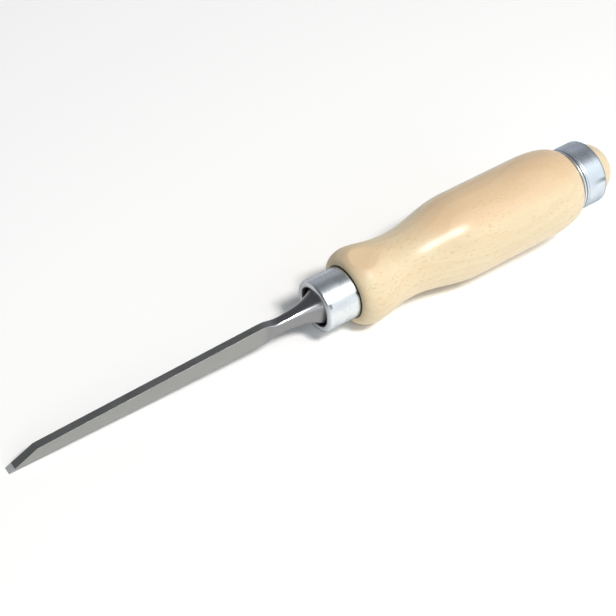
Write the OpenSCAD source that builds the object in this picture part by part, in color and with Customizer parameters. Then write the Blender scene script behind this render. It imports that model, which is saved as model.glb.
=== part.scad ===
// Narrow wood chisel with a turned beech handle, a front ferrule and a striking hoop.
// The tool axis lies along X: the cutting edge points to -X and the butt to +X.
// The origin is on the tool axis, in the plane of the handle's front shoulder, and the bevel faces up.

/* [Blade] */
// Width of the cutting edge
edge_w = 3; // [2:0.5:5]
// Width of the ground blade where it meets the neck
root_w = 2.7; // [1.8:0.1:4.8]
// Length of the ground faces, from the cutting edge to the neck
ground_len = 100.8; // [70:0.1:130]
// Thickness at the heel of the bevel
heel_h = 5.8; // [4.5:0.1:7]
// Thickness at the end of the ground faces
root_h = 9.2; // [7.5:0.1:10]
// Depth of the flat back below the tool axis
back_drop = 4.8; // [4.2:0.1:5.4]
// Angle of the main bevel
bevel_angle = 28; // [20:1:35]
// Angle of the honed strip at the cutting edge
hone_angle = 30; // [30:1:45]
// Height of the honed strip
hone_h = 1.3; // [0.3:0.1:1.4]

/* [Neck and tang] */
// Length of the neck, from the ground faces to the bolster
neck_len = 24.1; // [17:0.1:35]
// Thickness of the neck behind the ground faces
neck_h = 5.5; // [4.5:0.1:7]
// Thickness of the neck where it runs into the round collar
neck_end_h = 10.4; // [8:0.1:12]
// Width of the neck behind the ground faces
neck_w = 3.9; // [2:0.1:5]
// Width of the neck where it runs into the round collar
neck_end_w = 8.9; // [6:0.1:10]
// Diameter of the collar that the neck flares into
collar_d = 13.2; // [12:0.1:13.4]
// Length of the collar in front of the bolster
collar_len = 3; // [1:0.1:5]
// Diameter of the round bolster
bolster_d = 13.6; // [13.4:0.1:14.4]
// Thickness of the bolster
bolster_len = 2; // [1.5:0.1:2.8]
// Length of the tang inside the handle
tang_len = 62; // [40:1:80]
// Side of the square tang at the bolster
tang_root = 6.6; // [5:0.1:8]
// Side of the square tang at its end
tang_end = 3; // [2:0.1:4.5]
// Gap around the tang in its socket
socket_gap = 0.05; // [0.02:0.01:0.2]
// Depth of the socket beyond the tang's end
socket_spare = 2; // [1:0.5:6]

/* [Front ferrule] */
// Outside diameter of the ferrule
ferrule_d = 20.4; // [19:0.1:21.5]
// Length of the ferrule
ferrule_len = 13.9; // [10:0.1:18]
// Wall thickness of the ferrule
ferrule_wall = 1.2; // [0.8:0.1:1.8]
// Diameter of the mouth in the ferrule's turned-in front
mouth_d = 15.5; // [14.6:0.1:16]
// Radius of the ferrule's front corner
ferrule_round = 1.2; // [0.4:0.1:1.4]
// Depth of the bolster's seat behind the ferrule's front face
seat_depth = 4.5; // [2:0.1:5]

/* [Handle] */
// Diameter of the wood where it meets the ferrule
shoulder_d = 22.6; // [22:0.1:25]
// Diameter of the front bulge
bulge_d = 29.9; // [28.4:0.1:32]
// Distance of the front bulge from the shoulder
bulge_x = 6.4; // [4:0.1:9]
// Diameter of the waist
waist_d = 25.6; // [24:0.1:27.6]
// Distance of the waist from the shoulder
waist_x = 23.9; // [18:0.1:30]
// Diameter of the belly at its front
belly_d = 34.1; // [32:0.1:38]
// Distance of the belly's front from the shoulder
belly_x = 54; // [44:0.5:60]
// Diameter of the belly at its back
belly_back_d = 34.2; // [31:0.1:37]
// Distance of the belly's back from the shoulder
belly_back_x = 90; // [80:0.5:96]
// Diameter of the wood where it meets the hoop
hoop_seat_d = 24.8; // [24:0.1:25.8]
// Thickness across the two thumb flats on the front bulge
flats_h = 27.8; // [27.7:0.1:28.4]
// Height of the domed butt beyond the hoop
dome_h = 10; // [2:0.5:12]

/* [Striking hoop] */
// Outside diameter of the hoop
hoop_d = 26; // [25.8:0.1:28]
// Length of the hoop
hoop_len = 11.2; // [8:0.1:15]
// Wall thickness of the hoop
hoop_wall = 2; // [1:0.1:2.4]
// Distance of the hoop's front from the shoulder
hoop_x = 106.8; // [100:0.1:120]
// Radius of the hoop's edges
hoop_round = 0.6; // [0.2:0.1:0.8]

/* [Hidden] */
$fn = 96;
curve_steps = 16;
corner_steps = 6;
bulge_skew = 0.8;
bolster_x = -ferrule_len + seat_depth - bolster_len;
neck_x = bolster_x - neck_len;
edge_x = neck_x - ground_len;
hone_run = hone_h / tan(hone_angle);
heel_run = hone_run + (heel_h - hone_h) / tan(bevel_angle);
step_run = 4;
neck_power = 2.8;
tang_x = -ferrule_len + seat_depth;
spigot_r = ferrule_d / 2 - ferrule_wall;
tenon_r = hoop_d / 2 - hoop_wall;
cut_room = 40;

// Turns a solid that was drawn around Z so that it lies around the tool axis.
module along_x() {
  rotate([0, 90, 0]) children();
}

// Extrudes a side view, given as [x, z] points, evenly to both sides of the tool axis.
module from_side(points, width) {
  rotate([90, 0, 0]) linear_extrude(width, center = true) polygon(points);
}

// Extrudes a top view, given as [x, y] points, evenly above and below the tool axis.
module from_top(points, height) {
  linear_extrude(height, center = true) polygon(points);
}

// Points on an arc about [centre_r, centre_x], for an outline given as [radius, x].
function arc(centre_r, centre_x, radius, from, to) =
  [for (i = [0:corner_steps])
    let (a = from + (to - from) * i / corner_steps)
    [centre_r + radius * cos(a), centre_x + radius * sin(a)]];

// An even S-shaped change from one value to another as q goes from 0 to 1.
function ease(from, to, q) = from + (to - from) * (1 - cos(180 * q)) / 2;

// A quarter-ellipse rise from one value to another as q goes from 0 to 1.
function swell(from, to, q) = from + (to - from) * sqrt(1 - pow(1 - q, 2));

// A flare that starts gently, passes its second value at q = 1 and opens ever faster.
function flare(from, to, q) = from + (to - from) * pow(q, neck_power);

// A solid with a square section that tapers along the tool axis.
module square_taper(x0, x1, side0, side1) {
  outline = [[x0, -side0 / 2], [x1, -side1 / 2], [x1, side1 / 2], [x0, side0 / 2]];
  intersection() {
    from_side(outline, side0);
    from_top(outline, side0);
  }
}

// The ground length of the blade: flat back, rising top, main bevel and honed strip.
module ground_blade() {
  side = [
    [edge_x, -back_drop],
    [neck_x, -back_drop],
    [neck_x + step_run, -neck_h / 2],
    [neck_x + step_run, neck_h / 2],
    [neck_x, root_h - back_drop],
    [edge_x + heel_run, heel_h - back_drop],
    [edge_x + hone_run, hone_h - back_drop]
  ];
  plan = [
    [edge_x, -edge_w / 2],
    [neck_x, -root_w / 2],
    [neck_x + step_run, -neck_w / 2],
    [neck_x + step_run, neck_w / 2],
    [neck_x, root_w / 2],
    [edge_x, edge_w / 2]
  ];
  intersection() {
    from_side(side, cut_room);
    from_top(plan, cut_room);
  }
}

// The flared neck: its side view and top view open together and run into the round collar.
module neck() {
  x0 = neck_x + step_run;
  x1 = bolster_x + bolster_len / 2;
  flare_len = bolster_x - collar_len - x0;
  steps = [for (i = [0:curve_steps]) (x1 - x0) / flare_len * i / curve_steps];
  back_steps = [for (i = [0:curve_steps]) steps[curve_steps - i]];
  upper = [for (q = steps) [x0 + flare_len * q, flare(neck_h, neck_end_h, q) / 2]];
  lower = [for (q = back_steps) [x0 + flare_len * q, -flare(neck_h, neck_end_h, q) / 2]];
  far = [for (q = steps) [x0 + flare_len * q, flare(neck_w, neck_end_w, q) / 2]];
  near = [for (q = back_steps) [x0 + flare_len * q, -flare(neck_w, neck_end_w, q) / 2]];
  intersection() {
    from_side(concat(upper, lower), cut_room);
    from_top(concat(far, near), cut_room);
    translate([x0, 0, 0]) along_x() cylinder(d = collar_d, h = x1 - x0);
  }
}

// One forging: ground blade, neck with its collar, round bolster and square tang.
module blade() {
  color([0.60, 0.61, 0.62]) {
    ground_blade();
    neck();
    translate([bolster_x, 0, 0]) along_x() cylinder(d = bolster_d, h = bolster_len);
    square_taper(tang_x - bolster_len / 2, tang_x + tang_len, tang_root, tang_end);
  }
}

// Drawn steel cap with a turned-in front, pressed on the handle's spigot.
module front_ferrule() {
  outside = ferrule_d / 2;
  front = -ferrule_len;
  section = concat(
    [[spigot_r, 0], [outside, 0]],
    arc(outside - ferrule_round, front + ferrule_round, ferrule_round, 0, -90),
    [[mouth_d / 2, front], [mouth_d / 2, front + ferrule_wall], [spigot_r, front + ferrule_wall]]
  );
  color([0.78, 0.81, 0.84]) along_x() rotate_extrude() polygon(section);
}

// Radius of the turned wood from its shoulder to the hoop, as [radius, x] points.
function handle_outline() =
  let (q = [for (i = [0:curve_steps]) i / curve_steps])
  concat(
    [for (k = q) [swell(shoulder_d, bulge_d, k) / 2, bulge_x * k]],
    [for (k = q) if (k > 0)
      [ease(bulge_d, waist_d, pow(k, bulge_skew)) / 2, bulge_x + (waist_x - bulge_x) * k]],
    [for (k = q) if (k > 0) [ease(waist_d, belly_d, k) / 2, waist_x + (belly_x - waist_x) * k]],
    [for (k = q) [swell(hoop_seat_d, belly_back_d, 1 - k) / 2, belly_back_x + (hoop_x - belly_back_x) * k]]
  );

// Turned beech handle: spigot, bulge with two thumb flats, waist, belly, tenon and domed butt.
module handle() {
  butt_x = hoop_x + hoop_len;
  dome = [for (i = [0:curve_steps])
    let (a = 90 * i / curve_steps)
    [tenon_r * cos(a), butt_x + dome_h * sin(a)]];
  outline = concat(
    [[0, tang_x], [spigot_r, tang_x], [spigot_r, 0]],
    handle_outline(),
    [[tenon_r, hoop_x]],
    dome
  );
  color([0.90, 0.77, 0.58]) difference() {
    along_x() rotate_extrude() polygon(outline);
    square_taper(
      tang_x - bolster_len / 2,
      tang_x + tang_len + socket_spare,
      tang_root + 2 * socket_gap,
      tang_end + 2 * socket_gap
    );
    for (side = [-1, 1])
      translate([waist_x / 2, 0, side * (flats_h + cut_room) / 2])
        cube([waist_x, cut_room, cut_room], center = true);
  }
}

// Plain steel ring with rounded edges, pressed on the handle's tenon.
module striking_hoop() {
  outside = hoop_d / 2;
  back = hoop_x + hoop_len;
  section = concat(
    [[tenon_r, back], [tenon_r, hoop_x]],
    arc(outside - hoop_round, hoop_x + hoop_round, hoop_round, -90, 0),
    arc(outside - hoop_round, back - hoop_round, hoop_round, 0, 90)
  );
  color([0.76, 0.79, 0.84]) along_x() rotate_extrude() polygon(section);
}

blade();
front_ferrule();
handle();
striking_hoop();
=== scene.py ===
"""The looks of a narrow wood chisel: ground steel blade, plated ferrule and hoop, lacquered beech handle.

Lengths are in millimetres in the part's own frame, and are turned into metres as each mesh is made.
"""

import math

import bpy
import numpy as np
from mathutils import Matrix, Vector


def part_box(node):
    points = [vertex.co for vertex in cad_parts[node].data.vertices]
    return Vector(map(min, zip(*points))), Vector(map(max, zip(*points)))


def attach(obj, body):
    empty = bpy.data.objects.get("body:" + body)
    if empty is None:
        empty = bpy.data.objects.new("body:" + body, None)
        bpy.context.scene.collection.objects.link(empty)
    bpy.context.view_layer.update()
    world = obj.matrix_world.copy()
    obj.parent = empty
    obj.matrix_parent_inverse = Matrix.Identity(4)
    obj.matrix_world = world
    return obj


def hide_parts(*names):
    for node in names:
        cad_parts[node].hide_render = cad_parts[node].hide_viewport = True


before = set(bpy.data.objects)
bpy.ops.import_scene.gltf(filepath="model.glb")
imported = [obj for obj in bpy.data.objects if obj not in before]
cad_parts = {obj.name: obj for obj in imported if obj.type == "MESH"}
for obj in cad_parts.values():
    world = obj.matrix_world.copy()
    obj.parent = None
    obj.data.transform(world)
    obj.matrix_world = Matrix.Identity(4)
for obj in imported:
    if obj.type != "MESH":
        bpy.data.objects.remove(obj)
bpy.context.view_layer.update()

MM = 0.001


def reach(node):
    """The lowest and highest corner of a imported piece, in millimetres."""
    low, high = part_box(node)
    return np.array(low) / MM, np.array(high) / MM


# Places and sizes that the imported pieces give
blade_low, blade_high = reach("blade")
ferrule_low, ferrule_high = reach("front_ferrule")
handle_low, handle_high = reach("handle")
hoop_low, hoop_high = reach("striking_hoop")

# Blade
EDGE_X = blade_low[0]
EDGE_W = 3.0
ROOT_W = 2.7
GROUND_LEN = 100.8
HEEL_H = 5.8
ROOT_H = 9.2
BACK_Z = -4.8
BEVEL_ANGLE = 28.0
HONE_ANGLE = 30.0
HONE_H = 1.3
EDGE_LAND = 0.02
GROUND_EDGE_R = 0.05
EDGE_CREASE = 0.01
HONE_CREASE = 0.05
HEEL_CREASE = 0.06
HONE_X = EDGE_X + HONE_H / math.tan(math.radians(HONE_ANGLE))
HEEL_X = HONE_X + (HEEL_H - HONE_H) / math.tan(math.radians(BEVEL_ANGLE))

# Neck, bolster and tang
STEP_RUN = 4.0
STEP_SOFTNESS = 1.8
NECK_H = 5.5
NECK_END_H = 10.4
NECK_W = 3.9
NECK_END_W = 8.9
NECK_POWER = 2.8
NECK_EDGE_R = 0.95
NECK_END_EDGE_R = 2.5
COLLAR_R = 6.6
COLLAR_LEN = 3.0
BOLSTER_R = blade_high[2]
BOLSTER_LEN = 2.0
BOLSTER_CHAMFER = 0.15
TANG_X = handle_low[0]
TANG_ROOT = 6.6
TANG_END = 3.0
TANG_END_X = blade_high[0]
TANG_EDGE_R = 0.4
TANG_END_EDGE_R = 0.3
BOLSTER_X = TANG_X - BOLSTER_LEN
NECK_X = EDGE_X + GROUND_LEN
THROAT_X = NECK_X + STEP_RUN
FLARE_END_X = BOLSTER_X - COLLAR_LEN
NECK_EVEN_FROM = THROAT_X + 2.0
NECK_EVEN_TO = THROAT_X + 6.0

# Front ferrule
FERRULE_R = ferrule_high[2]
FERRULE_FRONT = ferrule_low[0]
FERRULE_WALL = 1.2
FERRULE_ROUND = 1.2
MOUTH_R = 7.75
LIP_R = 0.5
FERRULE_EDGE_R = 0.25
FERRULE_DENT = 0.12
FERRULE_SEAM_DEPTH = 0.015
FERRULE_SEAM_ANGLE = 41.0
FERRULE_SEAM_SPREAD = 1.6

# Handle
SHOULDER_R = 11.3
BULGE_R = 14.95
BULGE_X = 6.4
BULGE_SKEW = 0.8
WAIST_R = 12.8
WAIST_X = 23.9
BELLY_R = 17.05
BELLY_X = 54.0
BELLY_BACK_R = min(handle_high[1], handle_high[2])
BELLY_BACK_X = 90.0
HOOP_SEAT_R = 12.4
FLAT_Z = 13.9
FLAT_SOFTNESS = 0.05
SPIGOT_R = FERRULE_R - FERRULE_WALL
SPIGOT_CHAMFER = 0.3
FIT_GAP = 0.02
JOINT_GAP = 0.3
HOOP_GAP = 0.55
SOCKET_GAP = 0.05
SOCKET_SPARE = 2.0
BUTT_X = handle_high[0]

# Striking hoop
HOOP_R = hoop_high[2]
HOOP_FRONT = hoop_low[0]
HOOP_BACK = hoop_high[0]
HOOP_WALL = 2.0
HOOP_ROUND = 0.6
BEAD_R = 0.35
GROOVE_X = HOOP_FRONT + 1.1
GROOVE_HALF_W = 0.25
GROOVE_DEPTH = 0.3
FINE_LINE_X = HOOP_FRONT + 2.2
FINE_LINE_DEPTH = 0.05
HOOP_DENT = 0.12
HOOP_SEAM_ANGLE = 27.5
HOOP_SEAM_SPREAD = 2.2
TENON_R = HOOP_R - HOOP_WALL
WOOD_END_X = HOOP_FRONT - HOOP_GAP


def ease(start, end, q):
    """An even S-shaped change from start to end as q goes from 0 to 1: half a cosine wave."""
    return start + (end - start) * (1 - np.cos(np.pi * q)) / 2


def swell(start, end, q):
    """A quarter-ellipse rise from start to end as q goes from 0 to 1."""
    return start + (end - start) * np.sqrt(1 - (1 - q) ** 2)


def flare(start, end, q):
    """A flare that opens with a power of q and passes its second value at q = 1."""
    return start + (end - start) * np.maximum(q, 0) ** NECK_POWER


def arc(centre_x, centre_r, radius, start, end, steps=6):
    """Points (x, r) on an arc between two angles in degrees; 0 points along +x and 90 outwards."""
    a = np.radians(np.linspace(start, end, steps + 1))
    return np.stack([centre_x + radius * np.cos(a), centre_r + radius * np.sin(a)], -1)


def run(start, end, steps):
    """Points on the straight run between two (x, r) points, without the two ends."""
    q = np.linspace(0, 1, steps + 1)[1:-1, None]
    return (1 - q) * np.array(start) + q * np.array(end)


def volume(points, quads):
    """Signed volume inside quads: each is cut in two triangles, and each triangle spans a tetrahedron."""
    a, b, c, d = (points[quads[:, i]] for i in range(4))
    return np.einsum("ij,ij->", a, np.cross(b, c) + np.cross(c, d)) / 6


def skin(name, rings, loop, sharp_angle, painted_highlight=None):
    """A closed mesh over rings of points, an array of stations by points by xyz in millimetres.

    Quads join each ring to the next and each point to its neighbour. The last ring joins the first where
    loop is true. Otherwise a fan of triangles on the middle of the first and of the last ring closes the
    ends. painted_highlight is a painted highlight given as a value for each point of a ring, which the finish
    can read.
    """
    index = np.arange(rings.shape[0] * rings.shape[1]).reshape(rings.shape[:2])
    beside = np.roll(index, -1, axis=1)
    last = rings.shape[0] if loop else rings.shape[0] - 1
    ahead = np.roll(index, -1, axis=0)[:last]
    ahead_beside = np.roll(beside, -1, axis=0)[:last]
    quads = np.stack([index[:last], beside[:last], ahead_beside, ahead], -1).reshape(-1, 4)
    points = rings.reshape(-1, 3)
    fans = np.zeros((0, 3), int)
    if not loop:
        points = np.vstack([points, rings[[0, -1]].mean(axis=1)])
        front, back = np.full((2, rings.shape[1]), [[len(points) - 2], [len(points) - 1]])
        fans = np.vstack([
            np.stack([beside[0], index[0], front], -1),
            np.stack([index[-1], beside[-1], back], -1),
        ])
    if volume(points, quads) < 0:
        quads, fans = quads[:, ::-1], fans[:, ::-1]
    mesh = bpy.data.meshes.new(name)
    mesh.from_pydata((points * MM).tolist(), [], quads.tolist() + fans.tolist())
    mesh.shade_smooth()
    mesh.set_sharp_from_angle(angle=math.radians(sharp_angle))
    if painted_highlight is not None:
        values = np.zeros(len(points), np.float32)
        values[:index.size] = np.tile(painted_highlight, rings.shape[0])
        mesh.attributes.new("painted_highlight", "FLOAT", "POINT").data.foreach_set("value", values)
    return mesh


def fit(name, mesh, material, node):
    """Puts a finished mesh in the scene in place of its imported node."""
    made = bpy.data.objects.new(name, mesh)
    bpy.context.scene.collection.objects.link(made)
    mesh.materials.append(material)
    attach(made, "root")
    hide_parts(node)


def turned(profile, angles, dip=None):
    """Carries (x, r) points round the tool axis.

    An angle of 0 points to the front (-Y) and 90 degrees points up. dip(x, angle) is taken off the radius.
    """
    x, r = profile[:, :1], profile[:, 1:]
    a = np.radians(angles)[None, :]
    if dip is not None:
        r = r - dip(x, np.degrees(a))
    return np.stack(np.broadcast_arrays(x, -r * np.cos(a), r * np.sin(a)), -1)


def crowded(angle, margin, close_steps=40, steps=160):
    """Angles all round the axis, with more of them within a margin of one angle."""
    even = np.linspace(angle + margin, angle + 360 - margin, steps)
    close = np.linspace(angle - margin, angle + margin, close_steps)
    return np.concatenate([even[:-1], close + 360])[:-1]


# Surface of the blade

ARC_STEPS = 14
SIDE_STEPS = 8


def rounded_sections(x, half_w, low, high, corner, limit):
    """Rounded-rectangle sections across the tool axis, one for each station, cut by a circle about the axis.

    Each of the four corners is a quarter arc and each straight side is shared out evenly between two corners.
    A point outside the circle of radius limit is drawn in towards the axis until it lies on that circle.
    """
    half_h = (high - low) / 2
    corner = np.minimum(corner, 0.98 * np.minimum(half_w, half_h))
    flat_w, flat_h = half_w - corner, half_h - corner
    rings = []
    for quarter, (sy, sz) in enumerate([(1, 1), (-1, 1), (-1, -1), (1, -1)]):
        a = np.radians(90 * quarter + np.linspace(0, 90, ARC_STEPS + 1))
        y = sy * flat_w[:, None] + corner[:, None] * np.cos(a)
        z = sz * flat_h[:, None] + corner[:, None] * np.sin(a)
        rest = 2 * (flat_w if quarter % 2 == 0 else flat_h)[:, None] * np.linspace(0, 1, SIDE_STEPS + 1)[1:-1]
        y = np.hstack([y, y[:, -1:] - rest * np.sin(a[-1])])
        z = np.hstack([z, z[:, -1:] + rest * np.cos(a[-1])])
        rings.append(np.stack([y, z], -1))
    yz = np.concatenate(rings, axis=1)
    yz[..., 1] += ((high + low) / 2)[:, None]
    yz *= np.minimum(1, limit / np.maximum(np.linalg.norm(yz, axis=-1), 0.1))[..., None]
    xs = np.broadcast_to(x[:, None, None], yz[..., :1].shape)
    return np.concatenate([xs, yz], -1)


def upper_front_highlight():
    """Painted highlight on a section's upper front corner: a bell curve along that arc, nearer to its upper
    end.
    """
    middle, width = 0.35, 0.24
    quarter = ARC_STEPS + SIDE_STEPS
    along = np.linspace(0, 1, ARC_STEPS + 1)
    corner_highlight = np.zeros(4 * quarter)
    corner_highlight[quarter:quarter + ARC_STEPS + 1] = np.exp(-((along - middle) / width) ** 2)
    return corner_highlight


def blade_rings():
    """The forging as sections along the tool axis: ground blade, flared neck, collar, bolster and tang.

    The top, back and side lines are straight runs between creases, then a power flare. Each line is averaged
    over a short window, which rounds the creases to that width. The collar's circle cuts off what lies
    outside it.
    """
    around_crease = np.array([-3, -1.5, -1, -0.5, 0, 0.5, 1, 1.5, 3])
    neck_xs = np.linspace(NECK_X - 3 * STEP_SOFTNESS, BOLSTER_X, 140)
    hone_xs = HONE_X + HONE_CREASE * around_crease
    heel_xs = HEEL_X + HEEL_CREASE * around_crease
    x = np.concatenate([[EDGE_X], hone_xs, heel_xs, neck_xs])
    window = np.interp(
        x,
        [EDGE_X, HONE_X, HEEL_X, neck_xs[0], neck_xs[1]],
        [EDGE_CREASE, HONE_CREASE, HEEL_CREASE, HEEL_CREASE, STEP_SOFTNESS],
    )
    seen = x[:, None] + window[:, None] * np.linspace(-1, 1, 13)
    share = (seen - THROAT_X) / (FLARE_END_X - THROAT_X)
    top = np.interp(
        seen,
        [EDGE_X, HONE_X, HEEL_X, NECK_X, THROAT_X],
        [BACK_Z + EDGE_LAND, BACK_Z + HONE_H, BACK_Z + HEEL_H, BACK_Z + ROOT_H, NECK_H / 2],
    )
    back = np.interp(seen, [NECK_X, THROAT_X], [BACK_Z, -NECK_H / 2])
    side = np.interp(seen, [EDGE_X, NECK_X, THROAT_X], [EDGE_W / 2, ROOT_W / 2, NECK_W / 2])
    in_neck = share > 0
    half_h = flare(NECK_H, NECK_END_H, share) / 2
    top = np.where(in_neck, half_h, top).mean(axis=1)
    back = np.where(in_neck, -half_h, back).mean(axis=1)
    side = np.where(in_neck, flare(NECK_W, NECK_END_W, share) / 2, side).mean(axis=1)
    neck_round = [GROUND_EDGE_R, NECK_EDGE_R, NECK_EDGE_R, NECK_END_EDGE_R]
    corner = np.interp(x, [NECK_X, NECK_EVEN_FROM, NECK_EVEN_TO, FLARE_END_X], neck_round)
    forged = rounded_sections(x, side, back, top, corner, COLLAR_R)
    tail_x = np.array([BOLSTER_X, BOLSTER_X + BOLSTER_CHAMFER, TANG_X, TANG_X, TANG_END_X])
    tail = np.array([BOLSTER_R - BOLSTER_CHAMFER, BOLSTER_R, BOLSTER_R, TANG_ROOT / 2, TANG_END / 2])
    tail_corner = np.array([BOLSTER_R, BOLSTER_R, BOLSTER_R, TANG_EDGE_R, TANG_END_EDGE_R])
    return np.concatenate([forged, rounded_sections(tail_x, tail, -tail, tail, tail_corner, BOLSTER_R)])


# Surfaces of the ferrule and hoop


def seam(angle, width, depths):
    """A butt seam along the axis: a groove that is a bell curve across, with depths given as (x, depth)."""
    xs, ds = np.array(depths).T

    def dip(x, a):
        off = (a - angle + 180) % 360 - 180
        return np.interp(x, xs, ds) * np.exp(-(off / width) ** 2)

    return dip


def ferrule_rings():
    """The ferrule as an outline carried round the axis: skirt, rounded front, turned-in lip and bore."""
    edge_r = FERRULE_EDGE_R
    bore_r = SPIGOT_R
    end_x = -JOINT_GAP
    wall_x = FERRULE_FRONT + FERRULE_WALL
    round_x = FERRULE_FRONT + FERRULE_ROUND
    outline = np.vstack([
        [[end_x, bore_r], [end_x, FERRULE_R - 2 * edge_r]],
        arc(end_x - edge_r, FERRULE_R - edge_r, edge_r, 0, 90),
        run((end_x - edge_r, FERRULE_R), (round_x, FERRULE_R), 30),
        arc(round_x, FERRULE_R - FERRULE_ROUND, FERRULE_ROUND, 90, 180, 12),
        run((FERRULE_FRONT, FERRULE_R - FERRULE_ROUND), (FERRULE_FRONT, MOUTH_R + LIP_R), 4),
        arc(FERRULE_FRONT + LIP_R, MOUTH_R + LIP_R, LIP_R, 180, 270),
        [[wall_x, MOUTH_R], [wall_x, bore_r]],
        run((wall_x, bore_r), (end_x, bore_r), 4),
    ])
    groove = seam(FERRULE_SEAM_ANGLE, FERRULE_SEAM_SPREAD, [
        (FERRULE_FRONT + 0.5, 0),
        (round_x, FERRULE_DENT),
        (round_x + 1.0, FERRULE_SEAM_DEPTH),
        (end_x - 1.4, FERRULE_SEAM_DEPTH),
        (end_x - 0.6, FERRULE_DENT),
        (end_x, FERRULE_DENT),
    ])
    outside = FERRULE_R - 0.8 * FERRULE_ROUND

    def dip(x, a):
        return np.where(outline[:, 1:] > outside, groove(x, a), 0)

    return turned(outline, crowded(FERRULE_SEAM_ANGLE, margin=6), dip)


def hoop_rings():
    """The striking hoop as an outline carried round the axis: a flat band with a bead at its front edge.

    A groove sets the bead off from the band and a finer line follows it. Both are bell curves along the axis.
    """
    front, back = HOOP_FRONT + BEAD_R, HOOP_BACK - HOOP_ROUND
    band = run((front, HOOP_R), (back, HOOP_R), 150)
    for x, depth in ((GROOVE_X, GROOVE_DEPTH), (FINE_LINE_X, FINE_LINE_DEPTH)):
        band[:, 1] -= depth * np.exp(-((band[:, 0] - x) / GROOVE_HALF_W) ** 2)
    outline = np.vstack([
        run((HOOP_BACK, TENON_R), (HOOP_FRONT, TENON_R), 5),
        [[HOOP_FRONT, TENON_R]],
        arc(front, HOOP_R - BEAD_R, BEAD_R, 180, 90, 8),
        band,
        arc(back, HOOP_R - HOOP_ROUND, HOOP_ROUND, 90, 0, 8),
        [[HOOP_BACK, TENON_R]],
    ])
    groove = seam(HOOP_SEAM_ANGLE, HOOP_SEAM_SPREAD, [
        (HOOP_FRONT + 4, 0),
        (HOOP_BACK - 5, HOOP_DENT / 2),
        (HOOP_BACK, HOOP_DENT),
    ])

    def dip(x, a):
        return np.where(outline[:, 1:] > HOOP_R - HOOP_ROUND, groove(x, a), 0)

    return turned(outline, crowded(HOOP_SEAM_ANGLE, margin=8), dip)


# Surface of the handle


def wood_radius(x):
    """Radius of the turned wood from its shoulder to the hoop: five curves, each over its own run of x."""
    def share(start, end):
        return np.clip((x - start) / (end - start), 0, 1)

    bulge = swell(SHOULDER_R, BULGE_R, share(0, BULGE_X))
    to_waist = ease(BULGE_R, WAIST_R, share(BULGE_X, WAIST_X) ** BULGE_SKEW)
    to_belly = ease(WAIST_R, BELLY_R, share(WAIST_X, BELLY_X))
    belly = BELLY_R + (BELLY_BACK_R - BELLY_R) * share(BELLY_X, BELLY_BACK_X)
    to_hoop = swell(HOOP_SEAT_R, BELLY_BACK_R, 1 - share(BELLY_BACK_X, WOOD_END_X))
    return np.select(
        [x < BULGE_X, x < WAIST_X, x < BELLY_X, x < BELLY_BACK_X],
        [bulge, to_waist, to_belly, belly],
        to_hoop,
    )


def handle_rings():
    """The handle as one skin: square socket, spigot, bulge with two flats, waist, belly, tenon and butt.

    An outline is carried round the axis. The flats come from a soft minimum of each point's height and the
    flat's height, and the socket's round sections are drawn out to squares.
    """
    around = 256
    angles = np.arange(around) * 360 / around
    a = np.radians(angles)
    close = 1 - np.cos(np.linspace(0, np.pi / 2, 40))
    x = np.concatenate([
        BULGE_X * close,
        np.arange(BULGE_X + 0.25, WAIST_X, 0.25),
        np.arange(WAIST_X, BELLY_BACK_X, 0.8),
        WOOD_END_X - (WOOD_END_X - BELLY_BACK_X) * close[::-1],
    ])
    tenon = TENON_R - FIT_GAP
    spigot = SPIGOT_R - FIT_GAP
    turn = np.linspace(0, 90, 25)[:-1]
    dome_h = BUTT_X - HOOP_BACK
    dome = np.stack([HOOP_BACK + dome_h * np.sin(np.radians(turn)), tenon * np.cos(np.radians(turn))], -1)
    outline = np.vstack([
        [[TANG_X, spigot - SPIGOT_CHAMFER], [TANG_X + SPIGOT_CHAMFER, spigot], [0, spigot]],
        np.stack([x, wood_radius(x)], -1),
        [[WOOD_END_X, tenon]],
        dome,
    ])
    wood = turned(outline, angles)
    height = np.abs(wood[..., 2])
    soft = -FLAT_SOFTNESS * np.logaddexp(-height / FLAT_SOFTNESS, -FLAT_Z / FLAT_SOFTNESS)
    flat = (wood[..., 0] >= 0) & (wood[..., 0] < WAIST_X)
    wood[..., 2] = np.where(flat, np.sign(wood[..., 2]) * soft, wood[..., 2])
    end_x = TANG_END_X + SOCKET_SPARE
    taper = (TANG_ROOT - TANG_END) / (TANG_END_X - TANG_X)
    mouth = TANG_END / 2 + taper * (end_x - TANG_X) / 2 + SOCKET_GAP
    sides = np.array([[end_x, TANG_END / 2 + SOCKET_GAP], [TANG_X, mouth]])
    square = 1 / np.maximum(np.abs(np.cos(a)), np.abs(np.sin(a)))
    socket = turned(sides, angles)
    socket[..., 1:] *= square[None, :, None]
    return np.concatenate([socket, wood])


# Node helpers


def add(tree, kind, inputs=None, **settings):
    """Adds a shader node. Each input is a plain value, or the output socket of another node."""
    made = tree.nodes.new(kind)
    for key, value in settings.items():
        setattr(made, key, value)
    for key, value in (inputs or {}).items():
        if isinstance(value, bpy.types.NodeSocket):
            tree.links.new(value, made.inputs[key])
        else:
            made.inputs[key].default_value = value
    return made


def maths(tree, operation, a, b=0.0, c=0.0):
    """One sum on values or sockets."""
    return add(tree, "ShaderNodeMath", {0: a, 1: b, 2: c}, operation=operation).outputs[0]


def spread(tree, value, low, high, to_low=0.0, to_high=1.0):
    """Maps value from low..high to to_low..to_high, smoothly and held at both ends."""
    inputs = {"Value": value, "From Min": low, "From Max": high, "To Min": to_low, "To Max": to_high}
    return add(tree, "ShaderNodeMapRange", inputs, interpolation_type="SMOOTHSTEP").outputs["Result"]


def value_mix(tree, factor, a, b):
    """Blends two values by factor."""
    return add(tree, "ShaderNodeMix", {0: factor, 2: a, 3: b}).outputs[0]


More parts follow.
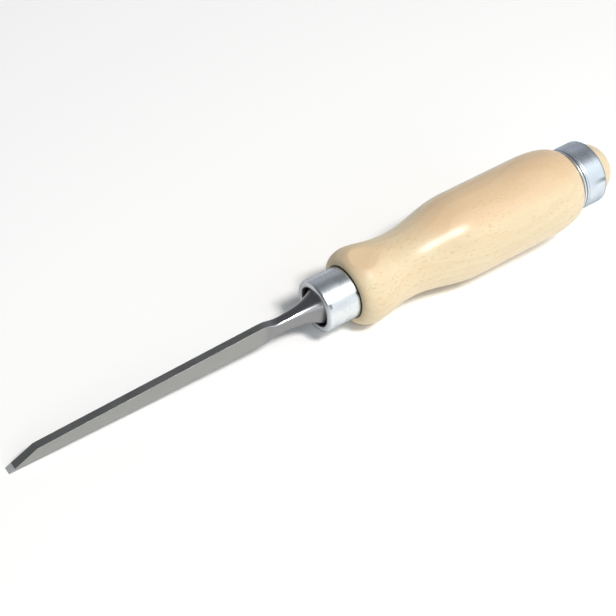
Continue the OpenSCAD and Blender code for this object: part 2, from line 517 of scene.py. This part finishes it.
def colour_mix(tree, factor, a, b):
    """Blends two colours by factor."""
    return add(tree, "ShaderNodeMix", {0: factor, 6: a, 7: b}, data_type="RGBA").outputs[2]


def noise(tree, place, scale, detail=3.0, roughness=0.5):
    """Fractal noise, about 0 to 1, at a scale in lumps for each unit of place."""
    inputs = {"Vector": place, "Scale": scale, "Detail": detail, "Roughness": roughness}
    return add(tree, "ShaderNodeTexNoise", inputs).outputs["Fac"]


def stretched(tree, place, scale):
    """A place with each of its axes scaled."""
    return add(tree, "ShaderNodeVectorMath", {0: place, 1: scale}, operation="MULTIPLY").outputs[0]


def millimetres(tree):
    """Object coordinates in millimetres."""
    place = add(tree, "ShaderNodeTexCoord").outputs["Object"]
    return stretched(tree, place, (1 / MM, 1 / MM, 1 / MM))


def group(name, ins, outs):
    """A shader node group with value and vector sockets; gives the tree and its two end nodes."""
    kinds = {"value": "NodeSocketFloat", "vector": "NodeSocketVector"}
    tree = bpy.data.node_groups.new(name, "ShaderNodeTree")
    for way, sockets in (("INPUT", ins), ("OUTPUT", outs)):
        for socket, kind in sockets:
            tree.interface.new_socket(socket, in_out=way, socket_type=kinds[kind])
    return tree, tree.nodes.new("NodeGroupInput"), tree.nodes.new("NodeGroupOutput")


def use(tree, grouped, inputs):
    """Places a node group in a material and gives its outputs."""
    return add(tree, "ShaderNodeGroup", inputs, node_tree=grouped).outputs


def new_material(name):
    """An empty node material with a Principled shader; gives the material, its tree and the shader."""
    made = bpy.data.materials.new(name)
    made.use_nodes = True
    tree = made.node_tree
    return made, tree, tree.nodes["Principled BSDF"]


def bump(tree, height, depth):
    """A normal from a height that runs from 0 to 1 over a depth in millimetres."""
    inputs = {"Height": height, "Distance": depth * MM, "Strength": 1.0}
    return add(tree, "ShaderNodeBump", inputs).outputs["Normal"]


# Finishes


def make_handling_group():
    """Finger smudges and fine scratches, which all the metal shares: soft clouds and thin random lines."""
    tree, start, end = group(
        "handling_marks", [("Place", "vector")], [("Smudge", "value"), ("Scratch", "value")]
    )
    place = start.outputs["Place"]
    cloud = noise(tree, place, 0.12, 4.0, 0.6)
    tree.links.new(spread(tree, cloud, 0.42, 0.66), end.inputs["Smudge"])
    wave = noise(tree, place, 0.35, 2.0)
    bent = add(tree, "ShaderNodeVectorMath", {0: place, 1: wave}, operation="ADD").outputs[0]
    lines = noise(tree, stretched(tree, bent, (0.9, 9.0, 7.0)), 1.0, 1.0)
    off_line = maths(tree, "ABSOLUTE", maths(tree, "SUBTRACT", lines, 0.5))
    tree.links.new(spread(tree, off_line, 0.012, 0.0), end.inputs["Scratch"])
    return tree


def ground_steel(handling):
    """Blade steel: grinding lines along the blade and across its bevel, and a bright honed strip at the edge.

    The forged neck is smoother and darker, and a painted highlight makes its upper front corner nearly white.
    """
    made, tree, shader = new_material("ground_steel")
    place = millimetres(tree)
    at = add(tree, "ShaderNodeSeparateXYZ", {0: place}).outputs
    x = at["X"]
    along = noise(tree, stretched(tree, place, (0.05, 9.0, 9.0)), 1.0, 4.0, 0.65)
    across = noise(tree, stretched(tree, place, (12.0, 0.25, 12.0)), 1.0, 4.0, 0.65)
    on_bevel = spread(tree, x, HEEL_X + 0.1, HEEL_X - 0.1)
    on_neck = spread(tree, x, NECK_X - 1.0, NECK_X + 1.5)
    rise = math.tan(math.radians(HONE_ANGLE))
    sunk = maths(tree, "SUBTRACT", maths(tree, "MULTIPLY_ADD", x, rise, BACK_Z - rise * EDGE_X), at["Z"])
    near_edge = spread(tree, x, HONE_X + 0.08, HONE_X - 0.08)
    on_hone = maths(tree, "MULTIPLY", near_edge, spread(tree, sunk, 0.10, 0.05))
    lines = value_mix(tree, on_bevel, along, across)
    marks = use(tree, handling, {"Place": place})
    tone = colour_mix(tree, lines, (0.29, 0.29, 0.28, 1), (0.40, 0.40, 0.39, 1))
    tone = colour_mix(tree, on_neck, tone, (0.29, 0.29, 0.295, 1))
    # painted highlight: the neck's upper front corner is made nearly white where the lamp's reflection runs
    # along it
    corner_highlight = add(tree, "ShaderNodeAttribute", attribute_name="painted_highlight").outputs["Fac"]
    tone = colour_mix(tree, maths(tree, "MULTIPLY", on_neck, corner_highlight), tone, (0.88, 0.88, 0.89, 1))
    tone = colour_mix(tree, on_hone, tone, (0.95, 0.95, 0.95, 1))
    tree.links.new(tone, shader.inputs["Base Color"])
    rough = spread(tree, lines, 0.25, 0.75, 0.26, 0.40)
    rough = maths(tree, "ADD", rough, maths(tree, "MULTIPLY", marks["Smudge"], 0.06))
    rough = value_mix(tree, on_neck, rough, 0.28)
    rough = value_mix(tree, on_hone, rough, 0.5)
    tree.links.new(rough, shader.inputs["Roughness"])
    depth = maths(tree, "MULTIPLY", lines, maths(tree, "SUBTRACT", 1.0, on_neck))
    tree.links.new(bump(tree, depth, 0.004), shader.inputs["Normal"])
    shader.inputs["Metallic"].default_value = 1.0
    return made


def make_seam_group():
    """The line of a butt seam: a mask about one angle round the tool axis, which wanders a little."""
    tree, start, end = group(
        "butt_seam", [("Place", "vector"), ("Angle", "value"), ("Half Width", "value")], [("Mask", "value")]
    )
    at = add(tree, "ShaderNodeSeparateXYZ", {0: start.outputs["Place"]}).outputs
    front = maths(tree, "MULTIPLY", at["Y"], -1.0)
    angle = maths(tree, "DEGREES", maths(tree, "ARCTAN2", at["Z"], front))
    wander = noise(tree, stretched(tree, start.outputs["Place"], (0.6, 0.1, 0.1)), 1.0, 2.0)
    angle = maths(tree, "MULTIPLY_ADD", wander, 3.0, maths(tree, "SUBTRACT", angle, 1.5))
    off = maths(tree, "ABSOLUTE", maths(tree, "SUBTRACT", angle, start.outputs["Angle"]))
    share = maths(tree, "DIVIDE", off, start.outputs["Half Width"])
    tree.links.new(spread(tree, share, 1.0, 0.2), end.inputs["Mask"])
    return tree


def ring_line(tree, x, place, half_w, strength):
    """A line round the tool axis: full strength at one place along it, nothing half_w away."""
    off = maths(tree, "ABSOLUTE", maths(tree, "SUBTRACT", x, place))
    return spread(tree, off, half_w, 0.3 * half_w, 0.0, strength)


def ferrule_marks_and_shade(tree, place, seam_line):
    """Where the ferrule is dark: painted shade on its rougher front face, a notch in the seam behind it and a
    nick at the rear edge.
    """
    x = add(tree, "ShaderNodeSeparateXYZ", {0: place}).outputs["X"]
    notch = ring_line(tree, x, FERRULE_FRONT + FERRULE_ROUND + 0.3, 1.0, 0.85)
    nick = ring_line(tree, x, -JOINT_GAP - 0.3, 0.8, 0.95)
    line = use(tree, seam_line, {"Place": place, "Angle": FERRULE_SEAM_ANGLE, "Half Width": 8.5})["Mask"]
    # painted shade on the ferrule's front face
    painted_front_shade = spread(tree, x, FERRULE_FRONT + 1.0, FERRULE_FRONT + 0.2, 0.0, 0.3)
    line = maths(tree, "MULTIPLY", line, maths(tree, "MAXIMUM", maths(tree, "MAXIMUM", notch, nick), 0.06))
    return maths(tree, "MAXIMUM", painted_front_shade, line)


def hoop_marks_and_shade(tree, place, seam_line):
    """Where the hoop is dark: painted shade in the groove behind its bead and in the finer line, a painted
    dark reflection on the rear edge, and the seam.
    """
    x = add(tree, "ShaderNodeSeparateXYZ", {0: place}).outputs["X"]
    # painted shade in the groove behind the bead and in the finer line
    groove = ring_line(tree, x, GROOVE_X, 1.6 * GROOVE_HALF_W, 0.85)
    fine = ring_line(tree, x, FINE_LINE_X, 0.8 * GROOVE_HALF_W, 0.5)
    # painted dark reflection on the rounded rear edge
    rear = spread(tree, x, HOOP_BACK - 1.1, HOOP_BACK - 0.3, 0.0, 0.75)
    line = use(tree, seam_line, {"Place": place, "Angle": HOOP_SEAM_ANGLE, "Half Width": 6.0})["Mask"]
    line = maths(tree, "MULTIPLY", line, spread(tree, x, HOOP_FRONT + 3.0, HOOP_BACK, 0.0, 0.7))
    return maths(tree, "MAXIMUM", maths(tree, "MAXIMUM", groove, fine), maths(tree, "MAXIMUM", rear, line))


def plated_steel(name, handling, seam_line, marks_and_shade_of, tint):
    """Bright zinc plate: fine lines round the axis from turning, smudges, a few scratches, and dark marks
    that are partly seams and dents and partly painted shade.
    """
    made, tree, shader = new_material(name)
    place = millimetres(tree)
    marks = use(tree, handling, {"Place": place})
    lines = noise(tree, stretched(tree, place, (14.0, 0.15, 0.15)), 1.0, 3.0, 0.6)
    tone = colour_mix(tree, marks["Smudge"], tint + (1,), tuple(0.9 * c for c in tint) + (1,))
    # dark: seams and dents, and the painted shade on the ferrule's front and on the hoop's groove, fine line
    # and rear edge
    dark = marks_and_shade_of(tree, place, seam_line)
    tone = colour_mix(tree, dark, tone, (0.08, 0.085, 0.10, 1))
    tree.links.new(tone, shader.inputs["Base Color"])
    rough = spread(tree, lines, 0.3, 0.7, 0.22, 0.30)
    rough = maths(tree, "ADD", rough, maths(tree, "MULTIPLY", dark, 0.2))
    rough = maths(tree, "ADD", rough, maths(tree, "MULTIPLY", marks["Smudge"], 0.08))
    rough = maths(tree, "ADD", rough, maths(tree, "MULTIPLY", marks["Scratch"], 0.08))
    tree.links.new(rough, shader.inputs["Roughness"])
    tree.links.new(bump(tree, lines, 0.0015), shader.inputs["Normal"])
    shader.inputs["Metallic"].default_value = 1.0
    shader.inputs["Specular Tint"].default_value = (0.35, 0.37, 0.42, 1)
    return made


def lacquered_beech():
    """Beech under gloss lacquer: faint growth rings about a pith beside the blank, fibres and ray flecks.

    Painted shade makes the wood darker and redder on top and nearly black inside the ferrule and along its
    rear edge, and the lacquer is thin in front.
    """
    pale, deep, painted_top_shade = (0.755, 0.645, 0.447, 1), (0.695, 0.585, 0.395, 1), (0.71, 0.50, 0.305, 1)
    ring_tone, fibre_tone, fleck_tone = (0.60, 0.40, 0.22, 1), (0.64, 0.44, 0.25, 1), (0.55, 0.36, 0.20, 1)
    # nearly black: the colour of the painted shade inside the ferrule and at its rear edge
    dark = (0.02, 0.015, 0.01, 1)
    pith_y, pith_z = 30.0, -62.0
    ring_step = 3.4
    made, tree, shader = new_material("lacquered_beech")
    place = millimetres(tree)
    drift = noise(tree, stretched(tree, place, (0.02, 0.05, 0.05)), 1.0, 2.0)
    at = add(tree, "ShaderNodeSeparateXYZ", {0: place}).outputs
    x = at["X"]
    y = maths(tree, "SUBTRACT", at["Y"], pith_y)
    z = maths(tree, "SUBTRACT", at["Z"], pith_z)
    squares = maths(tree, "ADD", maths(tree, "MULTIPLY", y, y), maths(tree, "MULTIPLY", z, z))
    out = maths(tree, "SQRT", squares)
    out = maths(tree, "ADD", out, maths(tree, "MULTIPLY", drift, 12.0))
    phase = maths(tree, "FRACT", maths(tree, "DIVIDE", out, ring_step))
    ring = maths(tree, "MULTIPLY", spread(tree, phase, 0.1, 0.9), spread(tree, phase, 1.0, 0.9))
    fibres = noise(tree, stretched(tree, place, (0.06, 2.2, 2.2)), 1.0, 5.0, 0.7)
    lenses = noise(tree, stretched(tree, place, (0.5, 1.7, 1.7)), 1.0, 1.5, 0.4)
    thick = noise(tree, stretched(tree, place, (0.03, 0.10, 0.10)), 1.0, 2.0)
    patches = spread(tree, thick, 0.35, 0.60, 0.25, 1.0)
    fleck = maths(tree, "MULTIPLY", spread(tree, lenses, 0.58, 0.70), patches)
    cloud = noise(tree, stretched(tree, place, (0.02, 0.06, 0.06)), 1.0, 3.0)
    tone = colour_mix(tree, spread(tree, cloud, 0.3, 0.7), pale, deep)
    # painted shade: the top of the handle is darker and redder
    tone = colour_mix(tree, spread(tree, at["Z"], 11.0, 15.5, 0.0, 0.75), tone, painted_top_shade)
    tone = colour_mix(tree, maths(tree, "MULTIPLY", ring, 0.16), tone, ring_tone)
    tone = colour_mix(tree, spread(tree, fibres, 0.35, 0.75, 0.0, 0.20), tone, fibre_tone)
    tone = colour_mix(tree, maths(tree, "MULTIPLY", fleck, 0.45), tone, fleck_tone)
    # painted shade on the wood inside the ferrule
    inside = spread(tree, x, -0.5, -2.0, 0.0, 0.93)
    across = stretched(tree, place, (0.0, 1.0, 1.0))
    from_axis = add(tree, "ShaderNodeVectorMath", {0: across}, operation="LENGTH").outputs["Value"]
    # painted shade on the wood in the gap at the ferrule's rear edge
    painted_joint_shade = spread(tree, from_axis, FERRULE_R + 0.6, FERRULE_R + 0.2, 0.0, 0.9)
    painted_joint_shade = maths(tree, "MULTIPLY", painted_joint_shade, spread(tree, x, 0.8, 0.4))
    tone = colour_mix(tree, maths(tree, "MAXIMUM", inside, painted_joint_shade), tone, dark)
    tree.links.new(tone, shader.inputs["Base Color"])
    tree.links.new(spread(tree, fibres, 0.2, 0.8, 0.42, 0.58), shader.inputs["Roughness"])
    thin = spread(tree, x, -2.0, -0.5, 0.0, 0.15)
    coat = maths(tree, "ADD", thin, spread(tree, x, BULGE_X, WAIST_X, 0.0, 0.42))
    tree.links.new(coat, shader.inputs["Coat Weight"])
    shader.inputs["Coat IOR"].default_value = 1.45
    shader.inputs["Specular IOR Level"].default_value = 0.15
    shader.inputs["Coat Roughness"].default_value = 0.26
    tree.links.new(bump(tree, fibres, 0.012), shader.inputs["Normal"])
    return made


# Stage, light and camera

FLOOR_SIZE = 16000.0
FLOOR_LIFT_FROM = 350.0
FLOOR_LIFT_TO = 1100.0
LAMP_AZIMUTH = 25.0
LAMP_ELEVATION = 61.0
LAMP_DISTANCE = 1200.0
LAMP_SPAN = 7.5
LAMP_RISE = 15.0
LAMP_RADIANCE = 61.8
WING_AZIMUTH = 12.0
WING_ELEVATION = 62.0
WING_SPAN = 4.5
WING_RISE = 6.5
WING_RADIANCE = 41.5
LAMP_COLOUR = (1.0, 0.97, 0.92)
BAR_FROM = (25.0, 60.0)
BAR_TO = (-52.0, 51.0)
BAR_LEVEL = 1.3
TENT_LEVEL = 0.85
ROOM_LEVEL = 0.13
BACK_LOW_LEVEL = 0.44
BACK_HIGH_LEVEL = 0.18
TENT_COLOUR = (0.94, 0.985, 1.03, 1)
BACK_COLOUR = (0.92, 0.955, 1.04, 1)
VIEW_TARGET = (-15.81, 0.82, 0.11)
VIEW_AZIMUTH = -38.51
VIEW_ELEVATION = 48.64
VIEW_ROLL = 4.15
VIEW_DISTANCE = 501.6
VIEW_LENS = 81.82


def facing(azimuth, elevation):
    """Unit vector from the part towards an azimuth, taken from -Y towards +X, and an elevation."""
    a, e = math.radians(azimuth), math.radians(elevation)
    return Vector((math.sin(a) * math.cos(e), -math.cos(a) * math.cos(e), math.sin(e)))


def lay_floor():
    """A pale floor that touches the edge and the belly, as a bench does, and fades to white far off."""
    under = np.arange(BULGE_X, BELLY_BACK_X, 0.1)
    drop = np.where(under < WAIST_X, np.minimum(wood_radius(under), FLAT_Z), wood_radius(under))
    slope = np.max((drop + BACK_Z) / (under - EDGE_X))
    xs = np.array([-1, 1, 1, -1]) * FLOOR_SIZE / 2
    ys = np.array([-1, -1, 1, 1]) * FLOOR_SIZE / 2
    zs = BACK_Z - slope * (xs - EDGE_X)
    mesh = bpy.data.meshes.new("floor")
    mesh.from_pydata((np.stack([xs, ys, zs], -1) * MM).tolist(), [], [(0, 1, 2, 3)])
    floor = bpy.data.objects.new("floor", mesh)
    bpy.context.scene.collection.objects.link(floor)
    made, tree, shader = new_material("pale_floor")
    place = millimetres(tree)
    away = add(tree, "ShaderNodeVectorMath", {0: place}, operation="LENGTH").outputs["Value"]
    rays = add(tree, "ShaderNodeLightPath").outputs
    mirrored = maths(tree, "MAXIMUM", rays["Is Glossy Ray"], rays["Is Transmission Ray"])
    seen = maths(tree, "MAXIMUM", rays["Is Camera Ray"], mirrored)
    lift = maths(tree, "MULTIPLY", seen, spread(tree, away, FLOOR_LIFT_FROM, FLOOR_LIFT_TO))
    shader.inputs["Base Color"].default_value = (0.95, 0.95, 0.95, 1)
    shader.inputs["Roughness"].default_value = 0.9
    shader.inputs["Specular IOR Level"].default_value = 0.0
    glow = add(tree, "ShaderNodeEmission", {"Color": (1, 1, 1, 1), "Strength": 1.0})
    mixed = add(tree, "ShaderNodeMixShader", {0: lift, 1: shader.outputs[0], 2: glow.outputs[0]})
    tree.links.new(mixed.outputs[0], tree.nodes["Material Output"].inputs["Surface"])
    mesh.materials.append(made)


def light_room():
    """The studio round the softboxes: a low white tent in front, a light bar above it and a dark room behind.

    A strip of the tent reaches up to the right, where the ferrule and hoop mirror it, and the tent gets lower
    to the left. Above the tent and behind the tool the room is dark, and behind it is a little bluer.
    """
    world = bpy.data.worlds.new("studio")
    bpy.context.scene.world = world
    world.use_nodes = True
    tree = world.node_tree
    aim = add(tree, "ShaderNodeTexCoord").outputs["Generated"]
    way = add(tree, "ShaderNodeSeparateXYZ", {0: aim}).outputs

    def along(direction):
        made = add(tree, "ShaderNodeVectorMath", {0: aim, 1: direction}, operation="DOT_PRODUCT")
        return made.outputs["Value"]

    edge = maths(tree, "MULTIPLY_ADD", way["X"], 0.65, way["Y"])
    behind = spread(tree, edge, 0.0, 0.42)
    back = spread(tree, way["Z"], 0.40, 0.80, BACK_LOW_LEVEL, BACK_HIGH_LEVEL)
    top = spread(tree, way["X"], -0.85, -0.45, 0.05, 0.52)
    wall = spread(tree, maths(tree, "SUBTRACT", way["Z"], top), 0.10, -0.10)
    wall = maths(tree, "MULTIPLY", wall, spread(tree, way["X"], 0.97, 0.80))
    strip = maths(tree, "MULTIPLY", spread(tree, way["X"], 0.05, 0.30), spread(tree, way["X"], 0.90, 0.60))
    tent = maths(tree, "MULTIPLY_ADD", maths(tree, "MAXIMUM", wall, strip), TENT_LEVEL, ROOM_LEVEL)
    ends = facing(*BAR_FROM), facing(*BAR_TO)
    off_bar = maths(tree, "ABSOLUTE", along(ends[0].cross(ends[1]).normalized()))
    middle = (ends[0] + ends[1]).normalized()
    reached = middle.dot(ends[1])
    on_bar = spread(tree, along(middle), reached - 0.02, reached + 0.02)
    bar = maths(tree, "MULTIPLY", spread(tree, off_bar, 0.18, 0.10), on_bar)
    tent = maths(tree, "MULTIPLY_ADD", bar, BAR_LEVEL, tent)
    level = value_mix(tree, behind, tent, back)
    background = tree.nodes["Background"]
    tree.links.new(colour_mix(tree, behind, TENT_COLOUR, BACK_COLOUR), background.inputs["Color"])
    tree.links.new(level, background.inputs["Strength"])


def hang_softbox(name, azimuth, elevation, width, height, radiance):
    """A flat lamp that faces the part: width and height are the angles that it fills, in degrees."""
    span, rise = (2 * LAMP_DISTANCE * MM * math.tan(math.radians(a / 2)) for a in (width, height))
    data = bpy.data.lights.new(name, "AREA")
    data.shape = "RECTANGLE"
    data.size = span
    data.size_y = rise
    data.energy = radiance * math.pi * span * rise
    data.color = LAMP_COLOUR
    lamp = bpy.data.objects.new(name, data)
    aim = facing(azimuth, elevation)
    lamp.location = aim * LAMP_DISTANCE * MM
    lamp.rotation_mode = "QUATERNION"
    lamp.rotation_quaternion = aim.to_track_quat("Z", "Y")
    bpy.context.scene.collection.objects.link(lamp)


def place_camera():
    """Looks down at the tool from the front left, rolled a little, with the edge to the lower left."""
    back = facing(VIEW_AZIMUTH, VIEW_ELEVATION)
    level = Vector((math.cos(math.radians(VIEW_AZIMUTH)), math.sin(math.radians(VIEW_AZIMUTH)), 0))
    roll = math.radians(VIEW_ROLL)
    right = level * math.cos(roll) + back.cross(level) * math.sin(roll)
    up = back.cross(right)
    turn = Matrix((right, up, back)).transposed().to_4x4()
    data = bpy.data.cameras.new("camera")
    data.lens = VIEW_LENS
    data.sensor_width = 36.0
    data.clip_start = 0.01
    camera = bpy.data.objects.new("camera", data)
    bpy.context.scene.collection.objects.link(camera)
    camera.matrix_world = Matrix.Translation((Vector(VIEW_TARGET) + back * VIEW_DISTANCE) * MM) @ turn
    bpy.context.scene.camera = camera


handling = make_handling_group()
steel = ground_steel(handling)
seam_line = make_seam_group()
ferrule_plate = plated_steel("ferrule_plate", handling, seam_line, ferrule_marks_and_shade, (0.81, 0.85, 0.87))
hoop_plate = plated_steel("hoop_plate", handling, seam_line, hoop_marks_and_shade, (0.79, 0.86, 0.92))
beech = lacquered_beech()
# the blade's mesh carries the painted highlight for the neck's upper front corner
forging = skin("chisel_blade", blade_rings(), loop=False, sharp_angle=35, painted_highlight=upper_front_highlight())
fit("chisel_blade", forging, steel, "blade")
cap = skin("ferrule_cap", ferrule_rings(), loop=True, sharp_angle=50)
fit("ferrule_cap", cap, ferrule_plate, "front_ferrule")
turning = skin("beech_handle", handle_rings(), loop=False, sharp_angle=50)
fit("beech_handle", turning, beech, "handle")
ring = skin("hoop_ring", hoop_rings(), loop=True, sharp_angle=50)
fit("hoop_ring", ring, hoop_plate, "striking_hoop")
lay_floor()
light_room()
hang_softbox("softbox", LAMP_AZIMUTH, LAMP_ELEVATION, LAMP_SPAN, LAMP_RISE, LAMP_RADIANCE)
hang_softbox("softbox_wing", WING_AZIMUTH, WING_ELEVATION, WING_SPAN, WING_RISE, WING_RADIANCE)
place_camera()
bpy.context.scene.view_settings.view_transform = "Standard"
